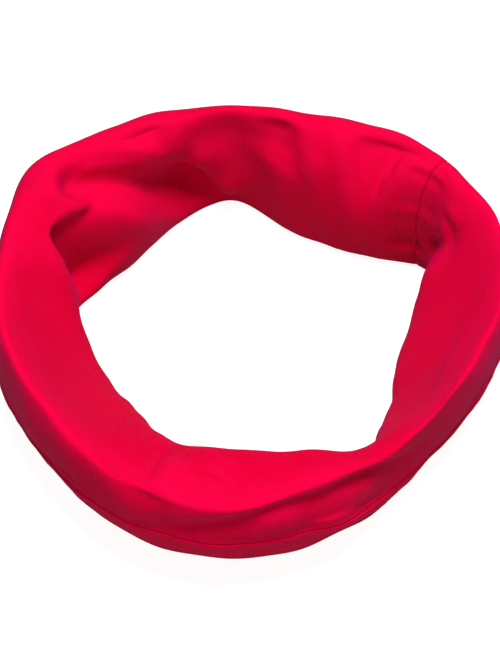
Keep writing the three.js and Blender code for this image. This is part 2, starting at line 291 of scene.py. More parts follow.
@dataclass(frozen=True)
class BandForm:
    """The shape that the rolled cloth takes, told by azimuth, girth and depth.

    Girth runs round the tube's section, one unit a quarter: 0 foot, 1 hole, 2 crest, 3 belly
    and 4 the foot again. Depth is the distance inside the cloth's outer face. softness is the
    girth over which the section's corners are rounded. overhang is how far the inner wall's
    folds go sideways, under the rim, rather than down; it comes in over wall_fade_in from the
    girth wall_start, and goes out over wall_fade_out before wall_end.
    """

    stations: tuple[Station, ...] = STATIONS
    folds: tuple[Fold, ...] = FOLDS
    hole_length: float = 0.3573
    band_height: float = 0.0489
    roll_depth: float = 0.031
    foot_width: float = 0.003
    softness: float = 0.16
    overhang: float = 0.55
    wall_start: float = 0.9
    wall_fade_in: float = 0.3
    wall_end: float = 2.0
    wall_fade_out: float = 0.2
    least_normal: float = 0.05

    def column(self, name: str, azimuth: np.ndarray) -> np.ndarray:
        """Smooth closed curve through one column of the stations.

        Args:
            name: The station's field.
            azimuth: Azimuths in degrees.

        Returns:
            The column's value at each azimuth.
        """
        place = np.array([station.azimuth for station in self.stations])
        value = np.array([getattr(station, name) for station in self.stations])
        place = np.concatenate([place[-2:] - FULL_TURN, place, place[:2] + FULL_TURN])
        value = np.concatenate([value[-2:], value, value[:2]])
        slope = np.diff(value) / np.diff(place)
        step = np.diff(place)
        tangent = (slope[:-1] * step[1:] + slope[1:] * step[:-1]) / (step[:-1] + step[1:])
        tangent = np.concatenate([[0.0], tangent, [0.0]])
        wrapped = np.mod(azimuth, FULL_TURN)
        index = np.searchsorted(place, wrapped, side="right") - 1
        span = step[index]
        t = (wrapped - place[index]) / span
        share = t * t * (3 - 2 * t)
        start_rise = span * tangent[index] * t * (1 - t) ** 2
        end_rise = span * tangent[index + 1] * t * t * (t - 1)
        return value[index] * (1 - share) + value[index + 1] * share + start_rise + end_rise

    def hole_scale(self) -> float:
        """How much the stations' hole radii are scaled to give the hole its length."""
        azimuth = np.arange(0.0, FULL_TURN + 1.0)
        radius = self.column("hole", azimuth)
        angle = np.radians(azimuth)
        line = np.stack([radius * np.cos(angle), radius * np.sin(angle)], axis=-1)
        return self.hole_length / float(np.linalg.norm(np.diff(line, axis=0), axis=1).sum())

    def section(self, azimuth: np.ndarray) -> dict[str, np.ndarray]:
        """Radii and heights of the section's named places at each azimuth."""
        hole = self.column("hole", azimuth) * self.hole_scale()
        height = self.column("rise", azimuth) * self.band_height
        out = {"hole": hole, "height": height, "slope": self.column("slope", azimuth)}
        for name in ("foot", "crest", "belly"):
            out[name] = hole + self.column(name, azimuth) * self.roll_depth
        for name, share in (("hole_z", "lip"), ("belly_z", "waist")):
            out[name] = self.column(share, azimuth) * height
        return out

    def profile(self, azimuth: np.ndarray, girth: np.ndarray) -> tuple[np.ndarray, ...]:
        """The plain section, before it is folded, its corners rounded by the cloth's stiffness.

        Args:
            azimuth: Azimuths in degrees.
            girth: Places round the section.

        Returns:
            Radius, height, and the outward normal's two parts.
        """
        s = self.section(azimuth)
        total = [np.zeros_like(girth) for _ in range(4)]
        for off, weight in ROUNDING:
            for part, value in zip(total, self.quarters(s, girth + off * self.softness)):
                part += weight * value
        radius, height, normal_r, normal_z = total
        size = np.hypot(normal_r, normal_z)
        return radius, height, normal_r / size, normal_z / size

    def quarters(self, s: dict[str, np.ndarray], girth: np.ndarray) -> tuple[np.ndarray, ...]:
        """The section in four quarters, ellipses but for the inner wall's slope.

        Args:
            s: The section's named places.
            girth: Places round the section.

        Returns:
            Radius, height, and the outward normal's two parts.
        """
        wrapped = np.mod(girth, FULL_GIRTH)
        quarter = np.floor(wrapped).astype(int)
        turn = (wrapped - quarter) * math.pi / 2
        sin, cos = np.sin(turn), np.cos(turn)
        half = self.foot_width / 2
        zero = np.zeros_like(s["hole"])
        centre_r = np.choose(quarter, [s["foot"] - half, s["crest"], s["crest"], s["foot"] + half])
        centre_z = np.choose(quarter, [s["hole_z"], s["hole_z"], s["belly_z"], s["belly_z"]])
        edge_r = np.choose(quarter, [s["hole"], s["hole"], s["belly"], s["belly"]])
        edge_z = np.choose(quarter, [zero, s["height"], s["height"], zero])
        slope, share = s["slope"], wrapped - quarter
        across = np.choose(quarter, [-sin, -cos - slope * (1 - share - cos), sin, cos])
        up = np.choose(quarter, [-cos, sin + slope * (share - sin), cos, -sin])
        wide, tall = np.abs(edge_r - centre_r), np.abs(edge_z - centre_z)
        lean = np.where(quarter == 1, slope, 0.0)
        face_across = np.choose(quarter, [-sin, -cos, sin, cos]) * (1 - lean) - WALL_LEAN * lean
        face_up = np.choose(quarter, [-cos, sin, cos, -sin]) * (1 - lean) + WALL_LEAN * lean
        normal_r, normal_z = face_across * tall, face_up * wide
        size = np.maximum(np.hypot(normal_r, normal_z), 1e-9)
        return centre_r + across * wide, centre_z + up * tall, normal_r / size, normal_z / size

    def stand(self, azimuth: np.ndarray, girth: np.ndarray) -> np.ndarray:
        """How far all the folds together move the cloth outwards."""
        return sum((fold.stand(azimuth, girth) for fold in self.folds), np.zeros_like(azimuth))

    def skin(self, azimuth: np.ndarray, girth: np.ndarray) -> np.ndarray:
        """Points of the folded outer face, one row of x, y, z for each place."""
        radius, height, normal_r, normal_z = self.profile(azimuth, girth)
        out = self.stand(azimuth, girth)
        place = np.mod(girth, FULL_GIRTH)
        inner_wall = (smooth_step((place - self.wall_start) / self.wall_fade_in)
                      * smooth_step((self.wall_end - place) / self.wall_fade_out))
        normal_z = normal_z * (1 - self.overhang * inner_wall)
        size = np.maximum(np.hypot(normal_r, normal_z), self.least_normal)
        radius = radius + normal_r / size * out
        height = np.maximum(height + normal_z / size * out, 0.0)
        angle = np.radians(azimuth)
        return np.stack([radius * np.cos(angle), radius * np.sin(angle), height], axis=-1)

    def face(self, azimuth: np.ndarray, girth: np.ndarray, depth: np.ndarray,
             inset: np.ndarray | float = 0.0) -> np.ndarray:
        """Points of the cloth's layers.

        Args:
            azimuth: Azimuths in degrees.
            girth: Places round the section.
            depth: Distances inside the cloth's outer face.
            inset: Distances towards the section's middle, where an end is turned in.

        Returns:
            One row of x, y, z for each place, before the band is put in its frame.
        """
        point = self.skin(azimuth, girth)
        across = self.skin(azimuth, girth + GIRTH_STEP) - self.skin(azimuth, girth - GIRTH_STEP)
        along = self.skin(azimuth + AZIMUTH_STEP, girth) - self.skin(azimuth - AZIMUTH_STEP, girth)
        normal = np.cross(across, along)
        normal /= np.maximum(np.linalg.norm(normal, axis=-1, keepdims=True), 1e-12)
        point = point - normal * np.asarray(depth)[..., None]
        s = self.section(azimuth)
        angle, middle = np.radians(azimuth), (s["hole"] + s["belly"]) / 2
        core = np.stack([middle * np.cos(angle), middle * np.sin(angle), s["height"] / 2], axis=-1)
        to_core = core - point
        to_core /= np.maximum(np.linalg.norm(to_core, axis=-1, keepdims=True), MM)
        return point + to_core * np.broadcast_to(inset, azimuth.shape)[..., None]

    def frame_shift(self) -> np.ndarray:
        """The move that puts the plain form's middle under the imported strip's middle."""
        azimuth, girth = np.meshgrid(np.arange(0.0, FULL_TURN), np.arange(0.0, FULL_GIRTH, 0.05))
        radius, _, _, _ = self.profile(azimuth.ravel(), girth.ravel())
        angle = np.radians(azimuth.ravel())
        x, y = radius * np.cos(angle), radius * np.sin(angle)
        low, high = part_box(STRIP_NODE)
        return np.array([(low[0] + high[0] - x.min() - x.max()) / 2,
                         (low[1] + high[1] - y.min() - y.max()) / 2, 0.0])


# ---- mesh helpers ------------------------------------------------------------------------


def deselect_all() -> None:
    """Leaves nothing selected, in object mode."""
    if bpy.context.mode != "OBJECT":
        bpy.ops.object.mode_set(mode="OBJECT")
    bpy.ops.object.select_all(action="DESELECT")


def woven_grid(name: str, rows: int, columns: int) -> bpy.types.Object:
    """Adds a flat grid of vertices to be laid out as cloth or rolled into a thread.

    Args:
        name: The new object's name.
        rows: Vertices in Y.
        columns: Vertices in X.

    Returns:
        The grid, its vertices in rows of X.
    """
    deselect_all()
    bpy.ops.mesh.primitive_grid_add(x_subdivisions=columns - 1, y_subdivisions=rows - 1, size=1.0)
    grid = bpy.context.object
    grid.name = grid.data.name = name
    return grid


def place_vertices(piece: bpy.types.Object, points: np.ndarray) -> None:
    """Moves all of a piece's vertices to the given points, in metres."""
    piece.data.vertices.foreach_set("co", points.astype(np.float32).ravel())
    piece.data.update()


def pick(piece: bpy.types.Object) -> None:
    """Selects one piece alone and makes it the active one."""
    deselect_all()
    piece.select_set(True)
    bpy.context.view_layer.objects.active = piece


def apply_modifier(piece: bpy.types.Object, kind: str, **settings: object) -> None:
    """Adds one modifier to a piece and applies it.

    Args:
        piece: The mesh object.
        kind: Blender's name for the modifier.
        **settings: The modifier's values.
    """
    pick(piece)
    modifier = piece.modifiers.new(kind.lower(), kind)
    for key, value in settings.items():
        setattr(modifier, key, value)
    bpy.ops.object.modifier_apply(modifier=modifier.name)


def shade_smooth(piece: bpy.types.Object) -> None:
    """Shades a piece smooth all over."""
    pick(piece)
    bpy.ops.object.shade_smooth()


def attach(piece: bpy.types.Object, slot: str, *nodes: str) -> None:
    """Puts a piece on the band's body and hides the CAD nodes that it replaces.

    Args:
        piece: The finished piece.
        slot: The record's material slot; not used.
        *nodes: The CAD nodes that the piece replaces.
    """
    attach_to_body(piece, ROOT)
    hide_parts(*nodes)
    log.info("%s: %d faces", piece.name, len(piece.data.polygons))


# ---- shader node groups ------------------------------------------------------------------


Socket = bpy.types.NodeSocket


class GroupMaker:
    """Builds one shader node group, its named inputs and outputs first."""

    def __init__(self, name: str, inputs: dict[str, tuple[str, object]],
                 outputs: dict[str, str]) -> None:
        """Makes the empty group.

        Args:
            name: The group's name.
            inputs: For each input its socket kind and starting value.
            outputs: For each output its socket kind.
        """
        self.tree = bpy.data.node_groups.new(name, "ShaderNodeTree")
        for label, (kind, value) in inputs.items():
            socket = self.tree.interface.new_socket(label, in_out="INPUT", socket_type=kind)
            if value is not None:
                socket.default_value = value
        for label, kind in outputs.items():
            self.tree.interface.new_socket(label, in_out="OUTPUT", socket_type=kind)
        self.inlet = self.tree.nodes.new("NodeGroupInput")
        self.outlet = self.tree.nodes.new("NodeGroupOutput")

    def given(self, label: str) -> Socket:
        """The value that reaches the group through a named input."""
        return self.inlet.outputs[label]

    def give(self, label: str, socket: Socket) -> None:
        """Sends a value out through a named output."""
        self.tree.links.new(socket, self.outlet.inputs[label])

    def node(self, kind: str, **settings: object) -> bpy.types.Node:
        """Adds a node with some of its properties set."""
        node = self.tree.nodes.new(kind)
        for key, value in settings.items():
            setattr(node, key, value)
        return node

    def feed(self, socket: Socket, value: object) -> None:
        """Links a socket into another, or sets a plain value on it."""
        if isinstance(value, bpy.types.NodeSocket):
            self.tree.links.new(value, socket)
        else:
            socket.default_value = value

    def math(self, operation: str, *values: object) -> Socket:
        """One math node.

        Args:
            operation: Blender's name for the operation.
            *values: Sockets or numbers, in order.

        Returns:
            The node's result.
        """
        node = self.node("ShaderNodeMath", operation=operation)
        for socket, value in zip(node.inputs, values):
            self.feed(socket, value)
        return node.outputs[0]

    def times(self, *values: object) -> Socket:
        """A product of two values."""
        return self.math("MULTIPLY", *values)

    def plus(self, *values: object) -> Socket:
        """A sum of two values."""
        return self.math("ADD", *values)

    def less(self, *values: object) -> Socket:
        """One value less another."""
        return self.math("SUBTRACT", *values)

    def split(self, vector: Socket) -> list[Socket]:
        """The three parts of a vector."""
        node = self.node("ShaderNodeSeparateXYZ")
        self.feed(node.inputs[0], vector)
        return list(node.outputs)

    def noise(self, vector: Socket, scale: float, detail: float, roughness: float = 0.5) -> Socket:
        """A noise value from 0 to 1 over some coordinates."""
        node = self.node("ShaderNodeTexNoise")
        self.feed(node.inputs["Vector"], vector)
        self.feed(node.inputs["Scale"], scale)
        self.feed(node.inputs["Detail"], detail)
        self.feed(node.inputs["Roughness"], roughness)
        return node.outputs["Fac"]

    def blend(self, share: object, first: object, second: object, mode: str = "MIX") -> Socket:
        """A mix of two colours."""
        node = self.node("ShaderNodeMix", data_type="RGBA", blend_type=mode)
        self.feed(node.inputs[0], share)
        self.feed(node.inputs[6], first)
        self.feed(node.inputs[7], second)
        return node.outputs[2]


# Dyed yarn is this rough at least, and rougher by up to the spread from patch to patch.
LEAST_ROUGHNESS = 0.78
ROUGHNESS_SPREAD = 0.16


def interlock_group() -> bpy.types.NodeTree:
    """Wales of an interlock knit: slanting legs of yarn in columns across the strip."""
    make = GroupMaker(
        "interlock_stitches",
        {"Cloth": ("NodeSocketVector", None), "Wale Pitch": ("NodeSocketFloat", 1.0),
         "Course Pitch": ("NodeSocketFloat", 1.0), "Unevenness": ("NodeSocketFloat", 0.1)},
        {"Height": "NodeSocketFloat", "Groove": "NodeSocketFloat"})
    across, along, _ = make.split(make.given("Cloth"))
    uneven = make.less(make.noise(make.given("Cloth"), 60.0, 2.0), 0.5)
    drift = make.times(uneven, make.given("Unevenness"))
    wale = make.plus(make.math("DIVIDE", along, make.given("Wale Pitch")), drift)
    course = make.plus(make.math("DIVIDE", across, make.given("Course Pitch")), drift)
    off_wale = make.times(make.math("ABSOLUTE", make.less(make.math("FRACT", wale), 0.5)), 2.0)
    off_leg = make.times(make.math("ABSOLUTE", make.less(off_wale, 0.5)), 2.0)
    leg = make.less(1.0, make.times(off_leg, off_leg))
    turn = make.times(make.plus(course, make.times(off_wale, 0.5)), 2 * math.pi)
    loop = make.math("MULTIPLY_ADD", make.math("SINE", turn), 0.5, 0.5)
    height = make.times(leg, make.math("MULTIPLY_ADD", loop, 0.45, 0.55))
    make.give("Height", height)
    make.give("Groove", make.less(1.0, height))
    return make.tree


def yarn_colour_group() -> bpy.types.NodeTree:
    """Colour of yarn: darker in the grooves as painted shade, uneven from yarn to yarn, and lighter
    where the lightening input says, which on the knit is wear with a painted highlight.
    """
    make = GroupMaker(
        "yarn_colour_with_painted_light",
        {"Place": ("NodeSocketVector", None), "Dye": ("NodeSocketColor", None),
         "Deep Dye": ("NodeSocketColor", None), "Faded Dye": ("NodeSocketColor", None),
         "Groove": ("NodeSocketFloat", 0.0), "Groove Depth": ("NodeSocketFloat", 0.4),
         "Rub": ("NodeSocketFloat", 0.0), "Mottle": ("NodeSocketFloat", 0.3)},
        {"Colour": "NodeSocketColor", "Roughness": "NodeSocketFloat"})
    fine = make.noise(make.given("Place"), 700.0, 3.0, 0.65)
    broad = make.noise(make.given("Place"), 28.0, 3.0, 0.5)
    # Painted shade: the grooves take the darker dye, and random patches of mottle take it too.
    groove_shade = make.times(make.given("Groove"), make.given("Groove Depth"))
    patch = make.plus(make.times(fine, 0.6), make.times(broad, 0.4))
    groove_shade_and_mottle = make.plus(groove_shade, make.times(patch, make.given("Mottle")))
    colour = make.blend(groove_shade_and_mottle, make.given("Dye"), make.given("Deep Dye"))
    # Lighter, bluer dye where the lightening input says: on the knit partly wear, partly painted
    # highlight.
    lightened_share = make.times(make.given("Rub"), make.math("MULTIPLY_ADD", fine, 0.8, 0.3))
    make.give("Colour", make.blend(lightened_share, colour, make.given("Faded Dye")))
    make.give("Roughness", make.plus(LEAST_ROUGHNESS, make.times(broad, ROUGHNESS_SPREAD)))
    return make.tree


def fluff_group() -> bpy.types.NodeTree:
    """Relief of loose fibres and of the cloth's slight unevenness."""
    make = GroupMaker(
        "fibre_fluff",
        {"Place": ("NodeSocketVector", None), "Fibre Scale": ("NodeSocketFloat", 1500.0)},
        {"Height": "NodeSocketFloat"})
    fibres = make.noise(make.given("Place"), make.given("Fibre Scale"), 2.0, 0.6)
    waves = make.noise(make.given("Place"), 120.0, 2.0, 0.5)
    make.give("Height", make.plus(make.times(fibres, 0.35), make.times(waves, 0.65)))
    return make.tree


def twist_group() -> bpy.types.NodeTree:
    """Plies of a sewing thread, wound round it at a slant."""
    make = GroupMaker(
        "twisted_plies",
        {"Thread": ("NodeSocketVector", None), "Plies": ("NodeSocketFloat", 3.0),
         "Turns": ("NodeSocketFloat", 1.0)},
        {"Height": "NodeSocketFloat", "Groove": "NodeSocketFloat"})
    girth, length, _ = make.split(make.given("Thread"))
    plies = make.times(girth, make.given("Plies"))
    turns = make.times(length, make.given("Turns"))
    wave = make.math("SINE", make.times(make.plus(plies, turns), 2 * math.pi))
    height = make.math("MULTIPLY_ADD", wave, 0.5, 0.5)
    make.give("Height", height)
    make.give("Groove", make.less(1.0, height))
    return make.tree


@dataclass
class SharedGroups:
    """The node groups that the finishes share, each built once."""

    stitches: bpy.types.NodeTree = field(default_factory=interlock_group)
    dye: bpy.types.NodeTree = field(default_factory=yarn_colour_group)
    fluff: bpy.types.NodeTree = field(default_factory=fluff_group)
    twist: bpy.types.NodeTree = field(default_factory=twist_group)


class MaterialMaker:
    """Builds one material round a Principled shader."""

    def __init__(self, name: str) -> None:
        """Makes the material and finds its shader."""
        self.material = bpy.data.materials.new(name)
        self.material.use_nodes = True
        self.nodes = self.material.node_tree.nodes
        self.links = self.material.node_tree.links
        self.shader = self.nodes["Principled BSDF"]

    def set(self, **values: object) -> None:
        """Sets constant values on the shader's own sockets, underscores for spaces."""
        for label, value in values.items():
            self.shader.inputs[label.replace("_", " ")].default_value = value

    def link(self, source: Socket, target: Socket) -> None:
        """Joins two sockets."""
        self.links.new(source, target)

    def place(self) -> Socket:
        """Object coordinates."""
        return self.nodes.new("ShaderNodeTexCoord").outputs["Object"]

    def uv(self) -> Socket:
        """The piece's own cloth coordinates."""
        return self.nodes.new("ShaderNodeUVMap").outputs["UV"]

    def group(self, tree: bpy.types.NodeTree, **values: object) -> bpy.types.Node:
        """Adds a shared group; each value is a socket to link or a constant to set."""
        node = self.nodes.new("ShaderNodeGroup")
        node.node_tree = tree
        for label, value in values.items():
            socket = node.inputs[label.replace("_", " ")]
            if isinstance(value, bpy.types.NodeSocket):
                self.link(value, socket)
            else:
                socket.default_value = value
        return node

    def bump(self, height: Socket, distance: float, strength: float,
             under: Socket | None = None) -> Socket:
        """Adds relief and gives the bumped normal.

        Args:
            height: The relief, from 0 to 1.
            distance: The relief's full height in metres.
            strength: Share of the relief that shows.
            under: A normal that the relief is laid on.

        Returns:
            The normal output.
        """
        node = self.nodes.new("ShaderNodeBump")
        node.inputs["Strength"].default_value = strength
        node.inputs["Distance"].default_value = distance
        self.link(height, node.inputs["Height"])
        if under is not None:
            self.link(under, node.inputs["Normal"])
        return node.outputs["Normal"]

    def dye(self, yarn: bpy.types.Node, normal: Socket) -> None:
        """Feeds the shader from a dyed yarn group and a bumped normal."""
        self.link(yarn.outputs["Colour"], self.shader.inputs["Base Color"])
        self.link(yarn.outputs["Roughness"], self.shader.inputs["Roughness"])
        self.link(normal, self.shader.inputs["Normal"])


# ---- finishes ----------------------------------------------------------------------------


Colour = tuple[float, float, float, float]


@dataclass(frozen=True)
class KnitFinish:
    """Soft interlock knit of polyester and elastane, piece dyed."""

    dye: Colour = (0.63, 0.0004, 0.015, 1.0)
    # The darker dye is painted shade in the stitch grooves and also random mottle; the lighter dye
    # is wear on what stands proud and a painted highlight towards the top.
    shade_and_mottle_dye: Colour = (0.46, 0.0001, 0.012, 1.0)
    faded_and_highlight_dye: Colour = (0.72, 0.002, 0.05, 1.0)
    wale_pitch: float = 1.05 * MM
    course_pitch: float = 0.8 * MM
    relief: float = 0.12 * MM
    fluff_relief: float = 0.18 * MM

    def material(self, groups: SharedGroups, unit: float) -> bpy.types.Material:
        """Builds the knit's material.

        Args:
            groups: The shared node groups.
            unit: Metres of cloth in one unit of the piece's UV map.

        Returns:
            The material.
        """
        make = MaterialMaker("interlock_knit")
        place = make.place()
        # Mask of wear and of painted highlight towards the top, read from the strip's attribute.
        wear_and_highlight = make.nodes.new("ShaderNodeAttribute")
        wear_and_highlight.attribute_name = WEAR_AND_HIGHLIGHT
        stitches = make.group(groups.stitches, Cloth=make.uv(), Wale_Pitch=self.wale_pitch / unit,
                              Course_Pitch=self.course_pitch / unit, Unevenness=0.16)
        yarn = make.group(groups.dye, Place=place, Dye=self.dye, Deep_Dye=self.shade_and_mottle_dye,
                          Faded_Dye=self.faded_and_highlight_dye, Groove=stitches.outputs["Groove"],
                          Groove_Depth=0.42, Rub=wear_and_highlight.outputs["Fac"], Mottle=0.24)
        fluff = make.group(groups.fluff, Place=place)
        under = make.bump(fluff.outputs["Height"], self.fluff_relief, 0.35)
        normal = make.bump(stitches.outputs["Height"], self.relief, 0.75, under)
        make.dye(yarn, normal)
        make.set(Specular_IOR_Level=0.35, Specular_Tint=(0.15, 0.0, 1.0, 1.0), Sheen_Weight=0.08,
                 Sheen_Roughness=0.4, Sheen_Tint=(0.7, 0.0, 0.5, 1.0))
        return make.material


@dataclass(frozen=True)
class ThreadFinish:
    """Spun polyester sewing thread, dyed to match the knit."""

    dye: Colour = (0.72, 0.002, 0.07, 1.0)
    # The darker dye is painted shade in the ply grooves and also random mottle.
    shade_and_mottle_dye: Colour = (0.42, 0.0, 0.03, 1.0)
    faded_and_highlight_dye: Colour = (0.86, 0.02, 0.12, 1.0)
    twist_pitch: float = 1.2 * MM
    relief: float = 0.06 * MM
    fluff_relief: float = 0.05 * MM

    def material(self, groups: SharedGroups, unit: float) -> bpy.types.Material:
        """Builds the thread's material.

        Args:
            groups: The shared node groups.
            unit: Metres of thread in one unit of its UV map.

        Returns:
            The material.
        """
        make = MaterialMaker("sewing_thread")
        place = make.place()
        twist = make.group(groups.twist, Thread=make.uv(), Plies=3.0, Turns=unit / self.twist_pitch)
        yarn = make.group(groups.dye, Place=place, Dye=self.dye, Deep_Dye=self.shade_and_mottle_dye,
                          Faded_Dye=self.faded_and_highlight_dye, Groove=twist.outputs["Groove"],
                          Groove_Depth=0.7, Rub=0.15, Mottle=0.3)
        fluff = make.group(groups.fluff, Place=place, Fibre_Scale=4000.0)
        under = make.bump(fluff.outputs["Height"], self.fluff_relief, 0.5)
        normal = make.bump(twist.outputs["Height"], self.relief, 0.9, under)
        make.dye(yarn, normal)
        make.set(Specular_IOR_Level=0.3, Specular_Tint=(1.0, 0.4, 0.5, 1.0), Sheen_Weight=0.1,
                 Sheen_Roughness=0.4)
        return make.material


@dataclass(frozen=True)
class FloorFinish:
    """Plain pale sweep of paper."""

    pale: Colour = (0.36, 0.36, 0.36, 1.0)
    shade: Colour = (0.33, 0.33, 0.33, 1.0)
    glow: float = 0.9

    def material(self) -> bpy.types.Material:
        """Builds the floor's material."""
        make = MaterialMaker("pale_paper")
        noise = make.nodes.new("ShaderNodeTexNoise")
        noise.inputs["Scale"].default_value = 3.0
        make.link(make.place(), noise.inputs["Vector"])
        mix = make.nodes.new("ShaderNodeMix")
        mix.data_type = "RGBA"
        mix.inputs[6].default_value = self.pale
        mix.inputs[7].default_value = self.shade
        make.link(noise.outputs["Fac"], mix.inputs[0])
        make.link(mix.outputs[2], make.shader.inputs["Base Color"])
        make.set(Roughness=0.9, Specular_IOR_Level=0.0)
        lit = make.nodes.new("ShaderNodeEmission")
        lit.inputs["Strength"].default_value = self.glow
        both = make.nodes.new("ShaderNodeAddShader")
        make.link(make.shader.outputs[0], both.inputs[0])
        make.link(lit.outputs[0], both.inputs[1])
        seen = make.nodes.new("ShaderNodeLightPath")
        pick = make.nodes.new("ShaderNodeMixShader")
        make.link(seen.outputs["Is Camera Ray"], pick.inputs[0])
        make.link(make.shader.outputs[0], pick.inputs[1])
        make.link(both.outputs[0], pick.inputs[2])
        make.link(pick.outputs[0], make.nodes["Material Output"].inputs["Surface"])
        return make.material


# ---- the knitted strip -------------------------------------------------------------------


def arc(centre: tuple[float, float], radius: float, start: float, end: float,
        steps: int) -> np.ndarray:
    """Points of an arc in the plane of below-seam distance and depth, both ends included."""
    turn = np.radians(np.linspace(start, end, steps))
    return np.stack([centre[0] + radius * np.cos(turn), centre[1] + radius * np.sin(turn)], axis=-1)


def run(start: tuple[float, float], end: tuple[float, float], steps: int) -> np.ndarray:
    """Points of a straight line, without its last one."""
    return np.linspace(start, end, steps, endpoint=False)


@dataclass
class SewnStrip:
    """The knitted strip, rolled into a tube and turned in at its four edges.

    groove is the gap that shows between the two sides of a seam, and gap the one between the
    layers inside. The seam's own columns reach seam_reach to either side of it, and the walls
    start seam_join beyond them. end_rows are the distances of the rows between the cross
    seam's fold and the wall, and end_clear is where the wall starts. mean_radius and
    cross_radius turn cloth into azimuth, over the wall's rows and beside the cross seam.
    bulge is how far the cloth stands out over the allowances.
    """

    form: BandForm
    cloth: float = 0.8 * MM
    gap: float = 0.4 * MM
    groove: float = 0.16 * MM
    long_allowance: float = 6 * MM
    cross_allowance: float = 6 * MM
    fold_radius: float = 0.55 * MM
    inner_radius: float = 0.35 * MM
    cross_azimuth: float = 37.0
    cut_width: float = 0.135
    cut_length: float = 0.456
    wall_columns: int = 88
    loop_rows: int = 318
    bulge: float = 0.75 * MM
    seam_reach: float = 3.2 * MM
    seam_join: float = 0.5 * MM
    end_rows: tuple[float, ...] = (3.6 * MM, 4.6 * MM)
    end_clear: float = 5.4 * MM
    least_radius: float = 0.25 * MM
    mean_radius: float = 0.07
    cross_radius: float = 0.065
    shift: np.ndarray = field(default_factory=lambda: np.zeros(3))

    def lower_depth(self) -> float:
        """Depth of the lower allowance's right side."""
        return 2 * self.cloth + self.gap

    def upper_depth(self) -> float:
        """Depth of the upper allowance's right side."""
        return 2 * (self.cloth + self.gap)

    def across(self) -> tuple[np.ndarray, np.ndarray, np.ndarray]:
        """The strip's right side across its width, raw edge to raw edge.

        Returns:
            For each place, its share of the wall where it is on the wall, its distance below
            the seam where it is near the seam (each nan elsewhere), and its depth.
        """
        half, r, edge = self.groove / 2, self.fold_radius, self.long_allowance
        inner, lower, upper = self.inner_radius, self.lower_depth(), self.upper_depth()
        near = self.seam_reach
        lower_side = np.concatenate([
            run((edge, lower), (half + lower / 2, lower), 8),
            arc((half + lower / 2, lower / 2), lower / 2, 90, 270, 9),
            run((half + lower / 2 + 0.6 * MM, 0.0), (near, 0.0), 2)])
        upper_side = np.concatenate([
            run((-near, 0.0), (-half - r, 0.0), 3),
            arc((-half - r, r), r, -90, 0, 6),
            run((-half, r + 0.4 * MM), (-half, upper - inner), 2),
            arc((-half + inner, upper - inner), inner, 180, 90, 4),
            run((-half + inner + 0.5 * MM, upper), (edge, upper), 8),
            [(edge, upper)]])
        walls = np.linspace(0.0, 1.0, self.wall_columns)
        count = len(lower_side) + len(walls) + len(upper_side)
        share, below, depth = np.full(count, np.nan), np.full(count, np.nan), np.zeros(count)
        below[:len(lower_side)], depth[:len(lower_side)] = lower_side.T
        share[len(lower_side):len(lower_side) + len(walls)] = walls
        below[-len(upper_side):], depth[-len(upper_side):] = upper_side.T
        return share, below, depth

    def girth_below(self, azimuth: np.ndarray, below: np.ndarray) -> np.ndarray:
        """Girth of places some metres below the seam line, above it where less than zero."""
        return self.form.column("seam", azimuth) + below / self.seam_scale(azimuth)

    def seam_scale(self, azimuth: np.ndarray) -> np.ndarray:
        """Metres of cloth to one unit of girth at the seam line."""
        seam, step = self.form.column("seam", azimuth), 0.05
        first, second = (self.form.profile(azimuth, seam + off) for off in (-step, step))
        return np.hypot(second[0] - first[0], second[1] - first[1]) / (2 * step)

    def girths(self, azimuth: np.ndarray, share: np.ndarray, below: np.ndarray) -> np.ndarray:
        """Girth of each place across the strip, the walls spread evenly over what is left."""
        clear = np.full_like(azimuth, self.seam_reach + self.seam_join)
        start = self.girth_below(azimuth, clear)
        end = self.girth_below(azimuth, -clear) + FULL_GIRTH
        wall = start + np.nan_to_num(share) * (end - start)
        seam = self.girth_below(azimuth, np.nan_to_num(below))
        return np.where(np.isnan(share), seam, wall)

    def along(self, depth: np.ndarray) -> tuple[np.ndarray, np.ndarray]:
        """One end of the strip, from its raw edge to the wall, for layers at each depth.

        Args:
            depth: Depths of the layers, one for each place across the strip.

        Returns:
            Distance from the cross seam's middle and inset, a row for each place along.
        """
        half, r = self.groove / 2, np.maximum(self.fold_radius - depth, self.least_radius)
        rows, insets = [], []
        for share in np.linspace(0.0, 1.0, 5, endpoint=False):
            rows.append(half + depth)
            insets.append((self.cross_allowance - depth) * (1 - share) + r * share)
        for turn in np.radians(np.linspace(0.0, 90.0, 6)):
            rows.append(half + depth + r * (1 - np.cos(turn)))
            insets.append(r * (1 - np.sin(turn)))
        for place in self.end_rows:
            rows.append(np.full_like(depth, place))
            insets.append(np.zeros_like(depth))
        return np.array(rows), np.array(insets)

    def points(self) -> tuple[np.ndarray, np.ndarray]:
        """The strip's right side.

        Returns:
            One point for each place, along by across, and the same places' cloth coordinates.
        """
        share, below, depth = self.across()
        from_cross, end_insets = self.along(depth)
        clear = self.end_clear / (2 * math.pi * self.mean_radius)
        first = self.cross_azimuth + FULL_TURN * clear
        last = self.cross_azimuth + FULL_TURN * (1 - clear)
        wall = np.linspace(first, last, self.loop_rows)[:, None] + np.zeros_like(depth)
        ends = []
        for side, turn in ((1, 0.0), (-1, FULL_TURN)):
            here = np.full(from_cross.shape, self.cross_azimuth + turn)
            girth = self.girths(here, share, below)
            radius = self.form.profile(here, girth)[0]
            ends.append(here + side * np.degrees(from_cross[::side] / radius))
        azimuth = np.concatenate([ends[0], wall, ends[1]])
        inset = np.concatenate([end_insets, np.zeros(wall.shape), end_insets[::-1]])
        girth = self.girths(azimuth, share, below)
        flat_depth = depth - self.relief(azimuth, girth, below, depth)
        points = self.form.face(azimuth.ravel(), girth.ravel(), flat_depth.ravel(), inset.ravel())
        points[:, 2] = np.maximum(points[:, 2], 0.0)
        points = points.reshape(*azimuth.shape, 3) + self.shift
        return points, self.cloth_places(points)

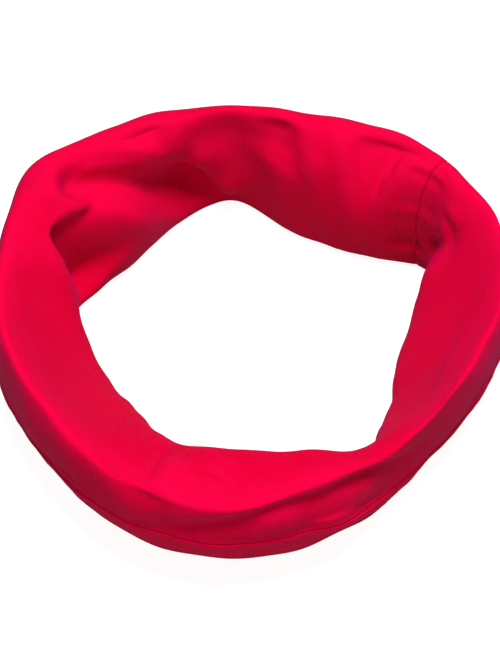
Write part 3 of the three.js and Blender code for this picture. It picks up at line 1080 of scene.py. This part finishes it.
    def relief(self, azimuth: np.ndarray, girth: np.ndarray, below: np.ndarray,
               depth: np.ndarray) -> np.ndarray:
        """How far the cloth stands out over what lies under it, and its small puckers.

        Args:
            azimuth: Azimuths in degrees.
            girth: Places round the section.
            below: Distances below the seam, nan on the walls.
            depth: Depths of the layers.

        Returns:
            The distance outwards in metres.
        """
        off_seam = nearest_way(girth - self.form.column("seam", azimuth), FULL_GIRTH)
        from_seam = np.where(np.isnan(below), off_seam * self.seam_scale(azimuth), below)
        over = (smooth_step((from_seam + 0.9 * MM) / (1.2 * MM))
                * smooth_step((self.long_allowance + 1.6 * MM - from_seam) / (2.4 * MM)))
        over = 0.55 * over + 0.45 * (bell(from_seam - 0.7 * MM, 1.1 * MM)
                                     + 0.7 * bell(from_seam - self.long_allowance, 0.9 * MM))
        angle = np.radians(azimuth)
        wave = np.sin(61 * angle + 1.3 * np.sin(7 * angle)) + 0.6 * np.sin(97 * angle + 2.0)
        pucker = 0.07 * MM * wave * bell(from_seam, 7 * MM)
        off_cross = np.radians(nearest_way(azimuth - self.cross_azimuth, FULL_TURN))
        off_cross = off_cross * self.cross_radius
        cross_wave = np.sin(girth * 21.0) + 0.7 * np.sin(girth * 33.0 + 1.0)
        cross = 0.22 * MM * cross_wave * bell(np.abs(off_cross) - 2.5 * MM, 3.5 * MM)
        ripple = 0.16 * MM * (np.sin(13 * angle + 2.1 * girth)
                              + np.sin(23 * angle - 3.2 * girth * math.pi / 2)
                              + 0.8 * np.sin(9 * angle + 4 * girth * math.pi / 2))
        return self.bulge * over + pucker + cross * (depth < self.cloth) + ripple

    def cloth_places(self, points: np.ndarray) -> np.ndarray:
        """Cloth coordinates of each point: metres over the cut strip's length.

        Args:
            points: The strip's points, along by across.

        Returns:
            Place across and place along, both divided by the cut length.
        """
        steps = np.linalg.norm(np.diff(points, axis=1), axis=2).mean(axis=0)
        u = np.concatenate([[0.0], np.cumsum(steps)]) / steps.sum()
        u = u * self.cut_width / self.cut_length
        steps = np.linalg.norm(np.diff(points, axis=0), axis=2).mean(axis=1)
        v = np.concatenate([[0.0], np.cumsum(steps)]) / steps.sum()
        return np.stack(np.meshgrid(u, v), axis=-1)

    def build(self, material: bpy.types.Material) -> bpy.types.Object:
        """Makes the strip with its thickness, cloth coordinates and its mask of wear and painted
        highlight.

        Args:
            material: The knit's material.

        Returns:
            The finished piece.
        """
        points, places = self.points()
        rows, columns = points.shape[:2]
        strip = woven_grid("sewn_knit_strip", rows, columns)
        place_vertices(strip, points.reshape(-1, 3))
        corner = np.zeros(len(strip.data.loops), np.int64)
        strip.data.loops.foreach_get("vertex_index", corner)
        uv = strip.data.uv_layers[0]
        uv.name = "cloth"
        uv.data.foreach_set("uv", places.reshape(-1, 2)[corner].astype(np.float32).ravel())
        wear_and_highlight = strip.data.attributes.new(WEAR_AND_HIGHLIGHT, "FLOAT", "POINT")
        wear_and_highlight.data.foreach_set("value", self.wear_and_highlight(points).astype(np.float32).ravel())
        apply_modifier(strip, "SOLIDIFY", thickness=self.cloth, offset=-1.0)
        shade_smooth(strip)
        strip.data.materials.clear()
        strip.data.materials.append(material)
        return strip

    def wear_and_highlight(self, points: np.ndarray) -> np.ndarray:
        """How much each place is lightened: by wear on what stands proud, and by a painted
        highlight that grows towards the top and the rim.
        """
        smooth = points.copy()
        for _ in range(6):
            smooth[1:-1, 1:-1] = (smooth[:-2, 1:-1] + smooth[2:, 1:-1]
                                  + smooth[1:-1, :-2] + smooth[1:-1, 2:]) / 4
        proud = np.linalg.norm(points - smooth, axis=-1)
        # The share grows with height: a painted highlight where the overhead lamp falls, on top of
        # wear where the cloth stands proud.
        return np.clip(proud / (0.25 * MM), 0.0, 1.0) * 0.5 * smooth_step(points[..., 2] / 0.045)


# ---- the sewing threads ------------------------------------------------------------------


# A direction that no thread starts along.
ASLANT = (0.3, 0.5, 0.8)


class Row(Enum):
    """The rows of stitching, by the CAD node that each one stands for."""

    LONG_NEEDLE = "long_seam_needle_thread"
    LONG_UPPER_LOOPER = "long_seam_upper_looper_thread"
    LONG_LOWER_LOOPER = "long_seam_lower_looper_thread"
    CROSS_NEEDLE = "cross_seam_needle_thread"
    CROSS_UPPER_LOOPER = "cross_seam_upper_looper_thread"
    CROSS_LOWER_LOOPER = "cross_seam_lower_looper_thread"
    CLOSING = "closing_thread"


def swing(phase: np.ndarray) -> np.ndarray:
    """A looper's swing out to the raw edge and back within a stitch, from 0 to 1 to 0."""
    return 0.5 - 0.5 * np.cos(2 * math.pi * phase)


def pull(phase: np.ndarray) -> np.ndarray:
    """How hard a needle thread is pulled into the cloth: 1 at a stitch's ends, 0 between them."""
    return bell(np.minimum(phase, 1 - phase), 0.12)


@dataclass
class Stitching:
    """All the rows of stitches, laid on the strip as the machine and the hand lay them.

    needle_line and cross_needle_line are how far the needle rows lie from the folds. pulled_in
    and cross_pulled_in are how deep the needle pulls its thread, wrap how far a looper thread
    goes round the raw edges, over the last edge_turn of its swing, and laid_off a thread's
    distance from the cloth. past_edge and cross_past_edge are its distances from the raw
    edges, and edge_away how far from the cross seam's middle it passes them. The closing row
    goes closing_reach to either side of the seam and closing_rise above and below the depth
    closing_middle. seam_radius turns cloth into azimuth along the long seam.
    """

    strip: SewnStrip
    thickness: float = 0.34 * MM
    pitch: float = 2.5 * MM
    stitch_steps: int = 12
    sides: int = 6
    needle_line: float = 1.4 * MM
    cross_needle_line: float = 3.6 * MM
    closing_length: float = 60 * MM
    end_gap: float = 3 * MM
    cross_stitches: int = 46
    cross_clear: float = 2.4 * MM
    seam_radius: float = 0.0755
    pulled_in: float = 0.5 * MM
    cross_pulled_in: float = 0.35 * MM
    wrap: float = 1.15 * MM
    edge_turn: float = 0.5 * MM
    laid_off: float = 0.02 * MM
    past_edge: float = 0.1 * MM
    cross_past_edge: float = 0.05 * MM
    edge_away: float = 0.19 * MM
    closing_reach: float = 1.25 * MM
    closing_middle: float = 0.5 * MM
    closing_rise: float = 0.72 * MM

    def places(self, stitches: int) -> tuple[np.ndarray, np.ndarray]:
        """Places along a row, counted in stitches, and each one's phase within its stitch."""
        t = np.arange(stitches * self.stitch_steps + 1) / self.stitch_steps
        return t, np.mod(t, 1.0)

    def tube(self, name: str, points: np.ndarray, material: bpy.types.Material) -> bpy.types.Object:
        """Rolls a grid into a round thread along some points.

        Args:
            name: The piece's name.
            points: The thread's middle line.
            material: The thread's material.

        Returns:
            The thread, closed at both ends.
        """
        count = len(points)
        tangent = np.gradient(points, axis=0)
        tangent /= np.linalg.norm(tangent, axis=1, keepdims=True)
        side = np.zeros_like(points)
        side[0] = np.cross(tangent[0], ASLANT)
        for i in range(1, count):
            side[i] = side[i - 1] - tangent[i] * (side[i - 1] @ tangent[i])
            side[i] /= np.linalg.norm(side[i])
        side[0] /= np.linalg.norm(side[0])
        up = np.cross(tangent, side)
        turn = np.linspace(0.0, 2 * math.pi, self.sides + 1)[None, :, None]
        radius = self.thickness / 2
        spoke = np.cos(turn) * side[:, None] + np.sin(turn) * up[:, None]
        ring = points[:, None] + radius * spoke
        thread = woven_grid(name, count, self.sides + 1)
        place_vertices(thread, ring.reshape(-1, 3))
        bpy.ops.object.mode_set(mode="EDIT")
        bpy.ops.mesh.select_all(action="SELECT")
        bpy.ops.mesh.remove_doubles(threshold=1e-6)
        bpy.ops.mesh.fill_holes(sides=self.sides)
        bpy.ops.mesh.select_all(action="SELECT")
        bpy.ops.mesh.normals_make_consistent(inside=False)
        bpy.ops.object.mode_set(mode="OBJECT")
        shade_smooth(thread)
        thread.data.materials.clear()
        thread.data.materials.append(material)
        return thread

    def long_row(self, row: Row) -> np.ndarray:
        """The middle line of a thread in the long seam."""
        strip = self.strip
        start = strip.cross_azimuth + self.past(2 * self.end_gap + self.closing_length)
        end = strip.cross_azimuth + FULL_TURN - self.past(2 * self.end_gap)
        stitches = int(round((end - start) / self.past(self.pitch)))
        t, phase = self.places(stitches)
        return self.lay(start + (end - start) * t / stitches, *self.weave(row, phase))

    def weave(self, row: Row, phase: np.ndarray) -> tuple[np.ndarray, np.ndarray]:
        """Where a thread is within its stitch.

        Args:
            row: The row of stitching.
            phase: Place along the stitch, from 0 to 1.

        Returns:
            Distance from the fold to the thread, and depth.
        """
        strip, r = self.strip, self.thickness / 2
        top, bottom = strip.upper_depth() + strip.cloth, strip.lower_depth() - strip.cloth
        edge = strip.long_allowance + r + self.past_edge
        reach = self.needle_line + (edge - self.needle_line) * swing(phase)
        round_edge = smooth_step((reach - edge + self.edge_turn) / self.edge_turn)
        if row is Row.LONG_NEEDLE:
            return np.full_like(phase, self.needle_line), top + r - self.pulled_in * pull(phase)
        if row is Row.LONG_UPPER_LOOPER:
            return reach, top + r + self.laid_off - self.wrap * round_edge
        return reach, bottom - r - self.laid_off + self.wrap * round_edge

    def past(self, metres: float) -> float:
        """Azimuth taken up by some metres of the long seam."""
        return math.degrees(metres / self.seam_radius)

    def lay(self, azimuth: np.ndarray, below: np.ndarray, depth: np.ndarray) -> np.ndarray:
        """Points of a thread beside the long seam, at a distance below it and a depth."""
        girth = self.strip.girth_below(azimuth, below)
        proud = self.strip.relief(azimuth, girth, below, depth)
        return self.strip.form.face(azimuth, girth, depth - proud) + self.strip.shift

    def cross_row(self, row: Row) -> np.ndarray:
        """The middle line of a thread in the cross seam, on one of its two flanges."""
        strip, form, r = self.strip, self.strip.form, self.thickness / 2
        side = -1 if row is Row.CROSS_LOWER_LOOPER else 1
        ends = np.array([strip.long_allowance + self.cross_clear, -self.cross_clear])
        below, above = strip.girth_below(np.full(2, strip.cross_azimuth), ends)
        start = below - FULL_GIRTH
        t, phase = self.places(self.cross_stitches)
        girth = start + (above - start) * t / self.cross_stitches
        edge = strip.cross_allowance + r + self.cross_past_edge
        inset = self.cross_needle_line + (edge - self.cross_needle_line) * swing(phase)
        off = strip.groove / 2 + strip.cloth + r + self.laid_off
        if row is Row.CROSS_NEEDLE:
            inset = np.full_like(t, self.cross_needle_line)
            away = off - self.cross_pulled_in * pull(phase)
        else:
            round_edge = smooth_step((inset - edge + self.edge_turn) / self.edge_turn)
            away = off - (off - self.edge_away) * round_edge
        wrapped = np.mod(girth, FULL_GIRTH)
        here = np.full_like(t, strip.cross_azimuth)
        radius = form.profile(here, wrapped)[0]
        azimuth = here + side * np.degrees(away / radius)
        relief = strip.relief(azimuth, wrapped, np.full_like(t, np.nan), np.zeros_like(t))
        return form.face(azimuth, wrapped, -relief, inset) + strip.shift

    def closing_row(self) -> np.ndarray:
        """The middle line of the thread that closes the turning gap, over and over the edges."""
        strip = self.strip
        start = strip.cross_azimuth + self.past(self.end_gap)
        end = start + self.past(self.closing_length)
        stitches = int(round(self.closing_length / self.pitch))
        t, phase = self.places(stitches)
        turn = 2 * math.pi * phase
        below = self.closing_reach * np.cos(turn)
        depth = self.closing_middle - self.closing_rise * np.sin(turn)
        return self.lay(start + (end - start) * t / stitches, below, depth)

    def build(self, material: bpy.types.Material) -> list[bpy.types.Object]:
        """Makes every row, each as its own piece."""
        pieces = []
        for row in Row:
            if row is Row.CLOSING:
                points = self.closing_row()
            elif row in (Row.LONG_NEEDLE, Row.LONG_UPPER_LOOPER, Row.LONG_LOWER_LOOPER):
                points = self.long_row(row)
            else:
                points = self.cross_row(row)
            piece = self.tube(row.value.replace("_thread", "_stitches"), points, material)
            attach(piece, THREAD_SLOT, row.value)
            pieces.append(piece)
        return pieces


# ---- studio and camera -------------------------------------------------------------------


@dataclass
class Viewpoint:
    """Where the camera stands and what it looks at."""

    target: Vector
    elevation: float = 52.0
    distance: float = 0.55
    metres_per_step: float = 0.00031
    steps_high: int = 667
    sensor: float = 36.0

    def build(self) -> bpy.types.Object:
        """Places the camera and makes it the scene's."""
        camera = bpy.data.objects.new("camera", bpy.data.cameras.new("camera"))
        bpy.context.scene.collection.objects.link(camera)
        angle = math.radians(self.elevation)
        forward = Vector((0.0, math.cos(angle), -math.sin(angle)))
        camera.location = self.target - forward * self.distance
        camera.rotation_mode = "QUATERNION"
        camera.rotation_quaternion = forward.to_track_quat("-Z", "Y")
        camera.data.sensor_width = self.sensor
        camera.data.lens = self.distance / self.metres_per_step * self.sensor / self.steps_high
        camera.data.clip_start = 0.01
        bpy.context.scene.camera = camera
        return camera


@dataclass
class Studio:
    """Plain pale floor, and soft light from above and from the front."""

    world: float = 0.07
    key_power: float = 9.4
    key_size: float = 0.3
    key_place: tuple[float, float, float] = (0.06, 0.0, 0.8)
    fill_power: float = 2.0
    fill_size: float = 0.5
    fill_place: tuple[float, float, float] = (0.0, -0.75, 0.36)

    def softbox(self, name: str, power: float, size: float,
                place: tuple[float, float, float]) -> None:
        """Hangs a square lamp that faces the stand's middle.

        Args:
            name: The lamp's name.
            power: Its power in watts.
            size: Its side in metres.
            place: Where it hangs.
        """
        lamp = bpy.data.lights.new(name, "AREA")
        lamp.energy, lamp.size = power, size
        box = bpy.data.objects.new(name, lamp)
        box.location = place
        box.rotation_mode = "QUATERNION"
        box.rotation_quaternion = (-Vector(place)).to_track_quat("-Z", "Y")
        bpy.context.scene.collection.objects.link(box)

    def build(self) -> bpy.types.Object:
        """Makes the floor, the lamps and the sky, and gives the floor."""
        deselect_all()
        bpy.ops.mesh.primitive_plane_add(size=6.0, location=(0.0, 0.0, -0.0002))
        floor = bpy.context.object
        floor.name = floor.data.name = "floor"
        floor.data.materials.append(FloorFinish().material())
        self.softbox("overhead_softbox", self.key_power, self.key_size, self.key_place)
        self.softbox("front_softbox", self.fill_power, self.fill_size, self.fill_place)
        sky = bpy.data.worlds.new("studio")
        sky.use_nodes = True
        background = sky.node_tree.nodes["Background"]
        background.inputs["Color"].default_value = (1.0, 1.0, 1.0, 1.0)
        background.inputs["Strength"].default_value = self.world
        bpy.context.scene.world = sky
        bpy.context.scene.view_settings.view_transform = "Standard"
        return floor


def main() -> None:
    """Builds the headband, the studio and the camera."""
    form = BandForm()
    shift = form.frame_shift()
    Viewpoint(target=Vector((0.0, 0.0, 0.018)) + Vector(shift)).build()
    Studio().build()
    groups = SharedGroups()
    strip = SewnStrip(form, shift=shift)
    knit = KnitFinish().material(groups, strip.cut_length)
    thread = ThreadFinish().material(groups, 1.0)
    cloth = strip.build(knit)
    attach(cloth, KNIT_SLOT, STRIP_NODE)
    rows = Stitching(strip).build(thread)


if __name__ == "__main__":
    main()
